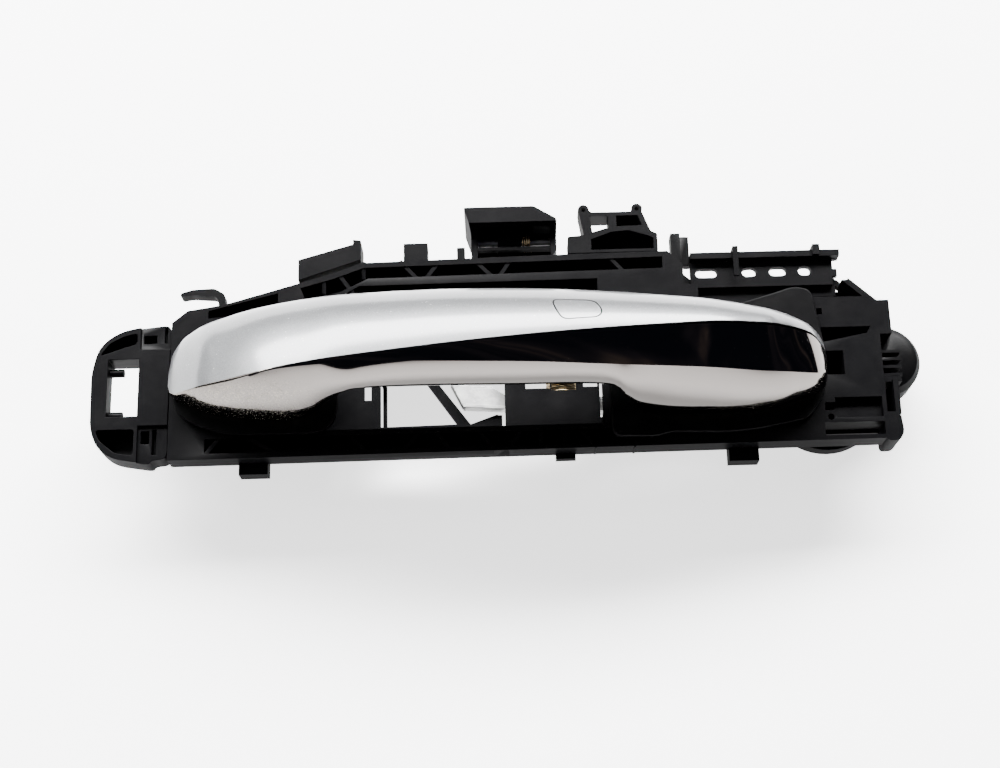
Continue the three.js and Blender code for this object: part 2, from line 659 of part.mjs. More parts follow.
// Guides behind and over the rail; the front lip of each comes down to its own height.
function railGuides() {
  const guide = (x, thick, lipY) => {
    const room = box(x - 1, x + thick + 1, railY[0] - gap, railY[1] + gap, railZ - gap, frontZ - 1.4);
    const block = box(x, x + thick, 17.5, railY[1] + 1.6, railZ - 2.4, frontZ - 0.4);
    const front = box(x - 1, x + thick + 1, 17, lipY, railZ - gap, frontZ);
    return cut(block, [room, front]);
  };
  return [guide(aft(59.2), 1.8, 18), guide(aft(86.5), 2.4, 25)];
}

const pinY = [armY - 8.2, armY + 8.2];
const shaftY = [cavityY[0] - wall - 1.2, cavityY[1] + wall + 2.6];
const clipThick = 0.9;
const clampY = 5;
const clampZ = frontZ - 14;
const clampX = [rear(-17), endX + gap];

function pinHoles() {
  return [
    rod('y', hingeX, hingeZ, pinY[0] - gap, pinY[1] + gap, hingePinR + gap),
    rod('y', crankX, shaftZ, shaftY[0] - gap, shaftY[1] + gap, shaftR + gap),
    rod('x', clampY, clampZ, clampX[0] - gap, rear(5), screwR + gap, 16),
  ];
}

function makeCarrier() {
  const shellTop = slab(carrierOutline(), deckZ - deckThick, frontZ);
  const cored = cut(shellTop, [bowlPocket(), ...rimChannels(), ...rimUndercuts(), ...rearPockets(),
    ...backHollows()]);
  const web = box(aft(-20), bowlRear + 1, bottomY + rimWidth, -12.2, webZ - deckThick, webZ);
  const webLeg = box(aft(-20), bowlRear + 1, bottomY + rimWidth, cavityY[0], deckZ - 2, webZ - 1);
  const skeleton = join([cored, web, webLeg, ...rimRibs(), ...backRibs(), ...restPosts(), ...bearingLugs(),
    ...edgeTongues(), harnessHook(), ...upperTabs(), ...rearBlocks()]);
  const railRoom = box(railX[0] - 3, railRoomEnd, railY[0] - gap, 40, railZ - gap, frontZ + 1);
  const railSeat = box(railX[0] - 8, rear(-12), 12, railY[0] + 3.2, railZ - gap - 2.4, railZ - gap);
  const holes = [...crankCavity(), hingeCavity(), ...deckWindows(), ...pinHoles()];
  const body = join([cut(skeleton, [railRoom, ...holes]), railSeat, ...railGuides()]);
  addPiece('carrier_frame', body, 'carrierPlastic');
}

// ---- Pieces clipped or screwed to the carrier --------------------------------------------

const panelStep = 1.2; // middle panel stands above the areas beside it
const pegR = 1.4;

// Frame that clips on at the hinge end, with a window and two pegs in it.
function makeEndFrame() {
  const x1 = seamX - gap;
  const outline = [
    [x1, 5.5], [fore(-21), 4.3], [fore(-25.7), 3.2], [fore(-30.4), 0.6], [fore(-33.8), -3.5],
    [fore(-35.6), -11.6], [fore(-35.3), -30], [fore(-33.8), -35.2], [fore(-31.2), -38.8],
    [fore(-27), -41.4], [fore(-15.2), -43.4], [fore(-14.6), -41.8], [x1, bottomY + 0.8],
  ];
  const body = slab(outline, frontZ - 10, frontZ, 2.6);
  const z1 = frontZ + 1;
  const windowX = [fore(-30.1), fore(-19.8)];
  const windowY = [-26.8, -6.8];
  const openings = [
    box(...windowX, ...windowY, 0, z1),
    slab([[fore(-33), -5.4], [fore(-30), -1.2], [fore(-25), 1.4], [fore(-20.6), 2.3], [fore(-20.6), -1.4],
      [fore(-26), -3]], frontZ - 8, z1, 1.2),
    slab([[fore(-33.4), -31.4], [fore(-32.2), -34.8], [fore(-26.6), -39.4], [fore(-20.6), -40.3],
      [fore(-20.6), -31.4]], frontZ - 7, z1, 1.2),
    box(fore(-18.6), fore(-14.2), -1, 1.7, frontZ - 8, z1),
    box(fore(-18.4), fore(-15.6), -36.2, -31.8, frontZ - 8, z1),
    box(fore(-14.6), fore(-13.2), -40, -31.4, frontZ - 4, z1),
    box(fore(-11.6), fore(-10.6), -1, 4.6, frontZ - 3, z1),
    box(fore(-19.4), x1 + 1, -3.4, 8, frontZ - panelStep, z1),
    box(fore(-19.4), x1 + 1, -45, -30.2, frontZ - panelStep, z1),
    box(fore(-31), fore(-12), -30, -8, frontZ - 10.5, frontZ - 7),
  ];
  const pegs = [windowY[1] - 3.4, windowY[0] + 1.5].map((y) => (
    rod('x', y, frontZ - 4.6, windowX[0] - 1, windowX[0] + 4.6, pegR, 16)));
  addPiece('front_end_frame', join([cut(body, openings), ...pegs]), 'carrierPlastic');
}

function makePads() {
  const z = [frontZ + gap, padTop];
  const front = slab([
    [fore(-7.8), -24], [fore(-3), -30], [fore(10), -34.8], [fore(42), -35], [fore(47), -30], [fore(47), -4],
    [fore(22), 3], [fore(6), 1.4], [fore(-4), -3], [fore(-7.8), -10],
  ], ...z, 5);
  addPiece('front_pad', cut(front, [hingeCavity(padTop + 1)]), 'rubber');
  const back = slab([
    [aft(15), -8], [aft(15), -38.6], [aft(30), -39], [aft(34), -37.6], [aft(53), -38.2], [aft(63), -37.4],
    [aft(80), -34.2], [aft(86), -26], [aft(87.4), -10.6], [aft(84.6), 8.4], [aft(83.6), 11.2],
    [aft(78.4), 12.4], [aft(73), 10.6], [aft(58), 6.2], [aft(40), 4.6], [aft(24), 3],
  ], ...z, 3);
  const slot = box(armSlotX[0], armSlotX[1], armY - 7.5, armY + 7.5, 0, padTop + 1);
  addPiece('rear_pad', cut(back, [slot]), 'rubber');
}

function makePins() {
  addPiece('hinge_pin', rod('y', hingeX, hingeZ, ...pinY, hingePinR), 'steel');
  const grooveY = [shaftY[1] - 0.8 - clipThick - gap, shaftY[1] - 0.8];
  const groove = cut(rod('y', crankX, shaftZ, ...grooveY, shaftR + 1), [
    rod('y', crankX, shaftZ, grooveY[0] - 1, grooveY[1] + 1, shaftR - 0.8)]);
  addPiece('crank_shaft', cut(rod('y', crankX, shaftZ, ...shaftY, shaftR), [groove]), 'steel');
  const ring = rod('y', crankX, shaftZ, grooveY[0] + gap / 2, grooveY[1] - gap / 2, shaftR + 1.8);
  const throat = rod('y', crankX, shaftZ, grooveY[0] - 1, grooveY[1] + 1, shaftR - 0.8 + gap);
  const mouth = box(crankX - 1.6, crankX + 1.6, grooveY[0] - 1, grooveY[1] + 1, shaftZ - 9, shaftZ);
  addPiece('shaft_clip', cut(ring, [throat, mouth]), 'springSteel');
  const shank = rod('x', clampY, clampZ, ...clampX, screwR, 16);
  const head = rod('x', clampY, clampZ, clampX[1], clampX[1] + 2.6, screwR + 1.8, 20);
  const socket = rod('x', clampY, clampZ, clampX[1] + 1, clampX[1] + 4, 1.4, 6);
  addPiece('rear_clamp_screw', cut(join([shank, head]), [socket]), 'steel');
}

// Torsion spring around the crank shaft.
const springY = [armY - 1.6, armY + 6.2];

function makeReturnSpring() {
  const body = coil(crankX, shaftZ, ...springY, springR, springWire, springTurns);
  addPiece('return_spring', body, 'springSteel');
}

// Round closing cup under the pulling end, where other versions carry the lock cylinder.
const cupX = rear(-15);
const cupY = -17.4;

function makeRearCup() {
  const cupTop = deckZ - deckThick - gap;
  const profile = [[0, 0], [cupR - 2, 0], [cupR, 2], [cupR, cupHeight / 2], [cupR - wall, cupHeight / 2],
    [cupR - wall, wall], [9, wall], [9, cupTop], [7, cupTop], [7, wall + 1], [0, wall + 1]];
  const geometry = new THREE.LatheGeometry(profile.map(([r, z]) => new THREE.Vector2(r, z)), 48);
  geometry.rotateX(Math.PI / 2);
  geometry.translate(cupX, cupY, 0);
  addPiece('rear_cup', solid(geometry), 'blackPlastic');
}

// Round rubber plug beside the stops of the pulling end.
const discX = rear(3.6);
const discY = -10;

function makeSealPlug() {
  const z0 = cupHeight / 2 + gap;
  const z1 = frontZ - 9.8;
  const profile = [[0, z0], [discR - 2, z0], [discR, z0 + 2], [discR, z1 - 4], [discR - 1.6, z1 - 1],
    [discR - 4, z1], [0, z1]];
  const geometry = new THREE.LatheGeometry(profile.map(([r, z]) => new THREE.Vector2(r, z)), 40);
  geometry.rotateX(Math.PI / 2);
  geometry.translate(discX, discY, 0);
  const room = join([
    box(rear(-40), endX + gap, -40, 20, -1, 40), rod('z', cupX, cupY, -1, 40, 9 + gap),
    rearBlockRoom(),
  ]);
  addPiece('seal_plug', cut(solid(geometry), [room]), 'rubber');
}

// Space taken by the blocks beyond the carrier's end, with clearance.
function rearBlockRoom() {
  return join([
    box(rear(-2), rear(4.6 + gap), -32.9, -19.1, frontZ - 12.3, frontZ + 6),
    box(rear(-2), rear(6.3), -21.6, -19.1, frontZ - 12.3, frontZ + 6),
    box(rear(-2), rear(4.3), -4.9, 7.8, clampZ + 3.9, 40),
    rod('x', clampY, clampZ, endX, rear(3.6), screwR + 1.8 + gap, 20),
  ]);
}

// Hood over the crash catch, open towards the grip.
const hoodX = [aft(-32.6), aft(-0.6)];
const hoodY = [topY + gap, 45.4];
const hoodZ = [frontZ - 26, frontZ];
const hoodFloor = 1.2;
const catchY = 37;
const catchZ = frontZ - 13;
const catchPinR = 1.6;
const catchWire = 0.3;

function makeHood() {
  const outer = slab([
    [hoodX[0] + 2.4, hoodY[0]], [hoodX[0] + 2.4, hoodY[0] + 10], [hoodX[0], hoodY[1]],
    [hoodX[1] - 7.8, hoodY[1]],
    [hoodX[1], hoodY[1] - 4.8], [hoodX[1], hoodY[0] + 4], [hoodX[1] - 3, hoodY[0]],
  ], ...hoodZ, 0.8);
  const floorZ = hoodZ[0] + hoodFloor;
  const inside = [
    box(hoodX[0] + 4.6, hoodX[1] - 2, hoodY[0] + 2, hoodY[1] - 6.6, floorZ, frontZ - wall),
    box(hoodX[0] + 4.6, hoodX[1] - 8, hoodY[0] + 2, hoodY[1] - wall, floorZ, frontZ - wall),
    box(hoodX[0] + 4.6, hoodX[0] + 9, hoodY[0] - 1, hoodY[0] + 9, floorZ + 6.8, frontZ + 1),
    box(hoodX[0] + 10.6, hoodX[1] - 2, hoodY[0] - 1, hoodY[0] + 10.4, floorZ + 4.8, frontZ + 1),
  ];
  const slope = profileYZ([[hoodY[0] - 1, frontZ - 7], [hoodY[0] + 9, frontZ - 7], [hoodY[0] + 12, frontZ],
    [hoodY[0] + 12, frontZ + 2], [hoodY[0] - 1, frontZ + 2]], hoodX[0] - 1, hoodX[1] + 1);
  const pin = rod('x', catchY, catchZ, catchX[0] - gap, catchX[1] + gap, catchPinR + gap, 16);
  const ledge = box(hoodX[0] + 4, hoodX[1] - 1, hoodY[0] + 4.6, hoodY[0] + 5.8, frontZ - 10, frontZ - 7.5);
  addPiece('crash_hood', cut(join([cut(outer, [...inside, slope]), ledge]), [pin]), 'blackPlastic');
}

const catchX = [hoodX[0] + 3.4, hoodX[1] - 0.8];

function makeCatch() {
  addPiece('catch_pin', rod('x', catchY, catchZ, ...catchX, catchPinR, 16), 'steel');
  const x = [aft(-21), aft(-13)];
  const hub = rod('x', catchY, catchZ, ...x, catchPinR + 2.2, 20);
  const finger = box(x[0], x[1], catchY - 8, catchY, catchZ - 3.4, catchZ - 0.6);
  const pan = box(x[0], x[1], catchY - 1, catchY + 5.6, catchZ - 5.6, catchZ - 2.2);
  const bore = rod('x', catchY, catchZ, x[0] - 1, x[1] + 1, catchPinR + gap, 16);
  addPiece('crash_catch', cut(join([hub, finger, pan]), [bore]), 'blackPlastic');
  addPiece('catch_weight',
    box(x[0] + 0.5, x[1] - 0.5, catchY + 0.6, catchY + 5.4, catchZ - 10.6, catchZ - 5.9),
    'zinc');
  const spring = coil(0, 0, x[1] + gap, x[1] + 4, catchPinR + 1.4, catchWire, 4);
  addPiece('catch_spring', spring.rotate([0, 0, -90]).translate([0, catchY, catchZ]), 'springSteel');
}

// Bracket that would hold the Bowden cable's end, above the bell crank.
function makeCableBracket() {
  const z = [frontZ - 9, frontZ - 0.5];
  const y0 = topY + gap;
  const outline = slab([
    [aft(7), 43.6], [aft(10.4), 43.8], [aft(11.4), 42.6], [aft(25.4), 42.6], [aft(26), 44], [aft(28.4), 44],
    [aft(29), 42.2], [aft(31.6), 35.2], [aft(33.8), 34.2], [aft(33.8), y0], [aft(3), y0], [aft(3), 33.7],
    [aft(8.6), 34.2],
  ], ...z, 0.6);
  const cuts = [
    slab([[aft(10.8), 41.2], [aft(17.2), 41.2], [aft(17.2), 36.8], [aft(11.6), 35.2]], 0, frontZ + 1),
    slab([[aft(20), 41.2], [aft(27.4), 41.2], [aft(28.8), 37.4], [aft(20), 37.2]], z[0] + 2, frontZ + 1),
    slab([[aft(11), y0 + 1], [aft(11), 32.6], [aft(18), 35.2], [aft(24), 35.7], [aft(31), 33.4],
      [aft(32.4), 32.6],
      [aft(32.4), y0 + 1]], z[0] + 2, frontZ + 1),
  ];
  const lug = (x) => rod('z', x, 43.6, z[0] + 2, z[1], 1.9, 16);
  const hole = (x) => rod('z', x, 43.6, 0, frontZ + 1, 0.8, 10);
  const lugs = [aft(8.8), aft(27.2)];
  const bracket = join([cut(outline, cuts), ...lugs.map(lug)]);
  addPiece('cable_bracket', cut(bracket, lugs.map(hole)), 'blackPlastic');
}

// Slanted guide for the wiring of the sensor in the grip, with a post at its end.
function makeHarnessGuide() {
  const x = [fore(33.2), fore(54.6)];
  const edge = (place) => 20.1 + (place - fore(33.5)) * 0.327;
  const post = 2.7;
  addPiece('harness_guide', slab([[x[0], edge(x[0])], [x[1], edge(x[1])], [x[1], 34.2], [x[1] - post, 34.6],
    [x[1] - post, 32.9], [x[0], edge(x[0]) + 7.6]], frontZ - 12, frontZ), 'blackPlastic');
}

// Slotted rail that slides in two loops along the upper rear edge.
function makeLockRail() {
  const footEnd = Math.min(railX[1], railRoomEnd - railTravel - 2 * gap);
  const plate = join([
    box(railX[0], footEnd, railY[0], railY[1] - 1, railZ, railZ + 2.2),
    box(railX[0], railX[1], 18.2 + gap, railY[1] - 1, railZ, railZ + 2.2),
  ]);
  const bead = box(railX[0], railX[1] + 0.8, railY[1] - 2.2, railY[1], railZ, frontZ - 1.8);
  const slots = [[46.5, 54], [62.5, 67.4], [71.8, 77.7], [81.8, 86.2]].map(([a, b]) => {
    const shape = new THREE.Shape();
    shape.absarc(aft(a) + 1.6, 20.6, 1.6, Math.PI / 2, Math.PI * 1.5, false);
    shape.absarc(aft(b) - 1.6, 20.6, 1.6, Math.PI * 1.5, Math.PI / 2, false);
    return extruded(shape, 0, frontZ);
  });
  const notch = box(railX[1] - 1.4, railX[1] + 2, railY[1] - 6, railY[1] - 2.4, 0, frontZ);
  addPiece('lock_rail', cut(join([plate, bead]), [...slots, notch]), 'blackPlastic');
}

// ---- Bell crank --------------------------------------------------------------------------

function makeBellCrank() {
  const y = [armY - 6.8, armY - 1.9];
  const hubR = shaftR + bushWall + 2 + 2 * gap;
  const half = leverThick / 2;
  const hub = rod('y', 0, 0, ...y, hubR, 28);
  const pull = profileXZ([[0, half + 0.8], [leverReach - 3, half], [leverReach, half - 2],
    [leverReach, -half + 1.6],
    [leverReach - 1.6, -half], [0, -half - 0.8]], y[0], y[1]);
  const plate = slab([[0, y[0] + 0.3], [0, y[1] - 0.3], [-19, y[1] - 0.3], [-25, armY + 1.6],
    [-38.6, armY + 2],
    [-34.6, y[0] + 0.9]], -half + 1, half - 1);
  const lip = slab([[-18, y[0] + 0.1], [-34.2, y[0] + 0.6], [-34, y[0] + 1.8], [-18, y[0] + 1.3]],
    -half + 0.2,
    half - 0.2);
  const bore = rod('y', 0, 0, y[0] - 1, y[1] + 1, shaftR + bushWall + 2 * gap);
  const turned = (piece) => {
    piece.position.set(crankX, 0, shaftZ);
    piece.rotation.y = THREE.MathUtils.degToRad(crankTilt);
  };
  turned(addPiece('bell_crank', cut(join([hub, pull, plate, lip]), [bore]), 'zinc'));
  const bush = cut(rod('y', 0, 0, y[0], y[1], shaftR + gap + bushWall, 28),
    [rod('y', 0, 0, y[0] - 1, y[1] + 1, shaftR + gap)]);
  turned(addPiece('crank_bush', bush, 'blackPlastic'));
}

// Rubber stop under the crank's light arm.
function makeCrankStop() {
  addPiece('crank_stop', box(aft(-18), aft(-12), armY - 6, armY - 1, webZ - deckThick - 2.4,
    webZ - deckThick - gap),
    'rubber');
}

makeCarrier();
makeEndFrame();
makePads();
makePins();
makeReturnSpring();
makeRearCup();
makeSealPlug();
makeHood();
makeCatch();
makeCableBracket();
makeHarnessGuide();
makeLockRail();
makeCrankStop();
makeGrip();
makeHingeArm();
makePullArm();
makeGripScrew('grip_screw_front', frontScrewX);
makeGripScrew('grip_screw_rear', rearScrewX);
makeBellCrank();

// Middle of the outside sizes over the origin.
const bounds = new THREE.Box3().setFromObject(handle);
handle.position.set(-(bounds.min.x + bounds.max.x) / 2, -(bounds.min.y + bounds.max.y) / 2, -bounds.min.z);
handle.updateMatrixWorld(true);

export default assembly;
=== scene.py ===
import bpy, bmesh, math, json
from mathutils import Vector, Matrix

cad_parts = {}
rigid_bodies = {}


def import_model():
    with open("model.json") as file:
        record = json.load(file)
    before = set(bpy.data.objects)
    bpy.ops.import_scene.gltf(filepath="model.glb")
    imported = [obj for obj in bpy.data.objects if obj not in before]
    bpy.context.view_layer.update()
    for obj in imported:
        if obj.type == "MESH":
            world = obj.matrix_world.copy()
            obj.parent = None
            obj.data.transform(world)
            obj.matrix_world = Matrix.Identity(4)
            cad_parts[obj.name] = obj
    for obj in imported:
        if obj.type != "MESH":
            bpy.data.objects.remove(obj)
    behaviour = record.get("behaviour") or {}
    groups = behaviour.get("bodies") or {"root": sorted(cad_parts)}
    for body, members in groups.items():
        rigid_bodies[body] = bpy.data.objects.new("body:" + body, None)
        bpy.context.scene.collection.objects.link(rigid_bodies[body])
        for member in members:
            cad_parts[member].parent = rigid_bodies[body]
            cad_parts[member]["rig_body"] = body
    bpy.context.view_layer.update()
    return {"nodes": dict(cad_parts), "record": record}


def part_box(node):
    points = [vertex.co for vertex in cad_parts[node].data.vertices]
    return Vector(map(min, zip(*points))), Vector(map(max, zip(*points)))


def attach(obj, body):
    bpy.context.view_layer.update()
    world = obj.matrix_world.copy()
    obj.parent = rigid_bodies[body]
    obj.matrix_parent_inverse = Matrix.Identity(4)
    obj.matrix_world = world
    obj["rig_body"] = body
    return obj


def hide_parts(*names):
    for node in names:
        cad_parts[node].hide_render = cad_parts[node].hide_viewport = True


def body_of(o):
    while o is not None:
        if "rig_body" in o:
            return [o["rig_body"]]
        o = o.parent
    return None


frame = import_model()
mm = 0.001
record = frame["record"]
slotOf = {s["node"]: s["material_slot"] for s in record["subparts"]}
bodyOf = {name: body_of(node)[0] for name, node in frame["nodes"].items()}


# a node's socket that adds and multiplies like a number
class Val:
    def __init__(self, tree, socket):
        self.tree, self.socket = tree, socket

    def math(self, op, other=0.0, flip=False):
        pair = (other, self) if flip else (self, other)
        return self.tree.node("ShaderNodeMath", {"operation": op}, pair)

    def __add__(self, o): return self.math("ADD", o)
    def __sub__(self, o): return self.math("SUBTRACT", o)
    def __mul__(self, o): return self.math("MULTIPLY", o)
    def __truediv__(self, o): return self.math("DIVIDE", o)
    def __radd__(self, o): return self.math("ADD", o, flip=True)
    def __rsub__(self, o): return self.math("SUBTRACT", o, flip=True)
    def __rmul__(self, o): return self.math("MULTIPLY", o, flip=True)
    def __rtruediv__(self, o): return self.math("DIVIDE", o, flip=True)


# every node is made here: its type, its settings, then the values or links of its sockets
class Tree:
    def __init__(self, nodes, links):
        self.nodes, self.links = nodes, links

    def node(self, kind, settings=None, values=(), out=0):
        n = self.nodes.new(kind)
        for key, value in (settings or {}).items():
            if key == "stops":
                self.setStops(n.color_ramp, value)
            else:
                setattr(n, key, value)
        items = values.items() if isinstance(values, dict) else enumerate(values)
        for key, value in items:
            if isinstance(value, Val):
                self.links.new(value.socket, n.inputs[key])
            elif value is not None:
                n.inputs[key].default_value = value
        return Val(self, n.outputs[out]) if len(n.outputs) else n

    def setStops(self, ramp, stops):
        for n, (at, colour) in enumerate(stops):
            stop = ramp.elements[n] if n < 2 else ramp.elements.new(at)
            stop.position, stop.color = at, rgba(colour)

    def mix(self, amount, a, b):  # colour b over colour a
        return self.node("ShaderNodeMix", {"data_type": "RGBA"}, {0: amount, 6: a, 7: b}, out=2)

    def ramp(self, value, low, high):
        return self.node("ShaderNodeMapRange", {"interpolation_type": "SMOOTHSTEP"},
                         [value, low, high, 0.0, 1.0])

    def noise(self, where, scale, detail=4.0, rough=0.55, stretch=None):
        if stretch:
            where = self.node("ShaderNodeMapping", {}, {"Vector": where, "Scale": stretch})
        return self.node("ShaderNodeTexNoise", {}, {"Vector": where, "Scale": scale, "Detail": detail,
                                                   "Roughness": rough})


def startMaterial(name):
    mat = bpy.data.materials.new(name)
    mat.use_nodes = True
    mat.node_tree.nodes.clear()
    return mat, Tree(mat.node_tree.nodes, mat.node_tree.links)


def rgba(colour):
    return (*colour, 1.0)


# one entry for each plain material; grain and patch are scales in patterns per metre
looks = {
    "carrier_plastic": {
        "base": (0.0012, 0.0012, 0.0015), "tint": (0.002, 0.002, 0.0023), "wear": (0.014, 0.014, 0.015),
        "wearAt": 0.66, "rough": 0.36, "shine": 0.0, "coat": 0.1, "metal": 0.0,
        "grain": 2600, "bump": 0.05, "patch": 140, "dust": 0.005},
    "black_plastic": {
        "base": (0.0014, 0.0014, 0.0017), "tint": (0.0024, 0.0024, 0.0027), "wear": (0.016, 0.016, 0.017),
        "wearAt": 0.67, "rough": 0.33, "shine": 0.0, "coat": 0.1, "metal": 0.0,
        "grain": 2200, "bump": 0.05, "patch": 80, "dust": 0.004},
    "rubber": {
        "base": (0.0012, 0.0012, 0.0014), "tint": (0.002, 0.002, 0.0022), "wear": (0.012, 0.012, 0.012),
        "wearAt": 0.7, "rough": 0.58, "shine": 0.0, "coat": 0.1, "metal": 0.0,
        "grain": 1500, "bump": 0.1, "patch": 45, "dust": 0.005},
    "zinc": {
        "base": (0.26, 0.26, 0.26), "tint": (0.42, 0.42, 0.41), "wear": (0.2, 0.2, 0.19),
        "wearAt": 0.6, "rough": 0.44, "shine": 0.5, "coat": 0.0, "metal": 1.0,
        "grain": 1400, "bump": 0.3, "patch": 160, "dust": 0.05},
    "steel": {
        "base": (0.5, 0.5, 0.51), "tint": (0.62, 0.62, 0.62), "wear": (0.22, 0.19, 0.16),
        "wearAt": 0.68, "rough": 0.3, "shine": 0.5, "coat": 0.0, "metal": 1.0,
        "grain": 3000, "bump": 0.1, "patch": 220, "dust": 0.02},
    "spring_steel": {
        "base": (0.24, 0.18, 0.1), "tint": (0.4, 0.32, 0.2), "wear": (0.25, 0.19, 0.12),
        "wearAt": 0.64, "rough": 0.3, "shine": 0.5, "coat": 0.0, "metal": 1.0,
        "grain": 3000, "bump": 0.08, "patch": 300, "dust": 0.02},
    "ferrite": {
        "base": (0.06, 0.054, 0.05), "tint": (0.09, 0.08, 0.07), "wear": (0.15, 0.14, 0.13),
        "wearAt": 0.66, "rough": 0.6, "shine": 0.3, "coat": 0.0, "metal": 0.0,
        "grain": 1800, "bump": 0.12, "patch": 120, "dust": 0.05},
    "circuit_board": {
        "base": (0.02, 0.13, 0.06), "tint": (0.03, 0.2, 0.09), "wear": (0.5, 0.42, 0.2),
        "wearAt": 0.62, "rough": 0.34, "shine": 0.5, "coat": 0.0, "metal": 0.0,
        "grain": 1200, "bump": 0.06, "patch": 260, "dust": 0.03},
    "bush_plastic": {
        "base": (0.52, 0.5, 0.45), "tint": (0.6, 0.58, 0.52), "wear": (0.3, 0.28, 0.24),
        "wearAt": 0.66, "rough": 0.4, "shine": 0.3, "coat": 0.0, "metal": 0.0,
        "grain": 1600, "bump": 0.05, "patch": 150, "dust": 0.03},
}


# moulded, cast and turned pieces: blotches, fine grain, scuffs and a little dust on top faces
def plainLook(name, look):
    mat, t = startMaterial(name)
    where = t.node("ShaderNodeTexCoord", {}, (), out=3)
    blotch = t.ramp(t.noise(where, look["patch"], 5.0, 0.6), 0.35, 0.68)
    grain = t.noise(where, look["grain"], 2.0, 0.5)
    scratch = t.noise(where, look["patch"] * 5, 6.0, 0.68, stretch=(1.0, 3.2, 1.6))
    scuff = t.ramp(scratch, look["wearAt"], 0.80)
    up = t.node("ShaderNodeSeparateXYZ", {}, [t.node("ShaderNodeNewGeometry", {}, (), out=1)], out=2)
    speck = t.ramp(t.noise(where, 1900, 3.0, 0.7), 0.60, 0.72)
    dust = t.ramp(up, 0.3, 1.0) * (t.ramp(t.noise(where, 90, 6.0, 0.65), 0.4, 0.75) * 0.6 + speck * 0.7)
    colour = t.mix(blotch, rgba(look["base"]), rgba(look["tint"]))
    colour = t.mix(scuff * 0.5, colour, rgba(look["wear"]))
    colour = t.mix(dust * look["dust"], colour, (0.42, 0.41, 0.39, 1.0))
    rough = look["rough"] + (blotch - 0.5) * 0.10 + scuff * 0.14 + dust * 0.2 + (grain - 0.5) * 0.12
    bump = t.node("ShaderNodeBump", {}, {"Strength": look["bump"], "Distance": 0.0002,
                                         "Height": grain * 0.7 + scuff * 0.6})
    shader = t.node("ShaderNodeBsdfPrincipled", {}, {
        "Base Color": colour, "Roughness": rough, "Metallic": look["metal"], "Normal": bump,
        "Coat Weight": look["coat"], "Coat Roughness": 0.32, "Specular IOR Level": look["shine"]})
    t.node("ShaderNodeOutputMaterial", {}, [shader])
    return mat


paint = {"base": (0.075, 0.077, 0.080), "light": (0.150, 0.152, 0.156), "chipped": (0.16, 0.16, 0.165),
         "pale": (0.80, 0.79, 0.77), "rough": 0.40, "flake": 5200, "coat": 0.75, "coatRough": 0.14}


# silver metallic paint: fine flake under a clear coat, small chips and pale specks
def paintLook(name):
    mat, t = startMaterial(name)
    where = t.node("ShaderNodeTexCoord", {}, (), out=3)
    flake = t.node("ShaderNodeTexVoronoi", {}, {"Vector": where, "Scale": paint["flake"]}, out=1)
    flakeTone = t.node("ShaderNodeSeparateXYZ", {}, [flake], out=0)
    cloud = t.noise(where, 26, 4.0, 0.5)
    chip = t.ramp(t.noise(where, 520, 3.0, 0.5), 0.735, 0.755)
    speck = t.ramp(t.noise(where, 1500, 2.0, 0.5), 0.70, 0.76)
    colour = t.mix(flakeTone * 0.55 + cloud * 0.30, rgba(paint["base"]), rgba(paint["light"]))
    colour = t.mix(chip * 0.7, colour, rgba(paint["chipped"]))
    colour = t.mix(speck * 0.25, colour, rgba(paint["pale"]))
    rough = paint["rough"] + flakeTone * 0.10 - 0.05 + chip * 0.3
    bump = t.node("ShaderNodeBump", {}, {"Strength": 0.05, "Distance": 0.0002, "Height": flakeTone - chip})
    shader = t.node("ShaderNodeBsdfPrincipled", {}, {
        "Base Color": colour, "Roughness": rough, "Metallic": 0.85, "Normal": bump,
        "Coat Weight": paint["coat"], "Coat Roughness": paint["coatRough"]})
    t.node("ShaderNodeOutputMaterial", {}, [shader])
    return mat


chrome = {"base": (0.135, 0.124, 0.116), "dull": (0.095, 0.086, 0.074), "pitted": (0.05, 0.045, 0.038),
          "grain": (0.24, 0.22, 0.17), "rough": 0.035, "pit": 2300}


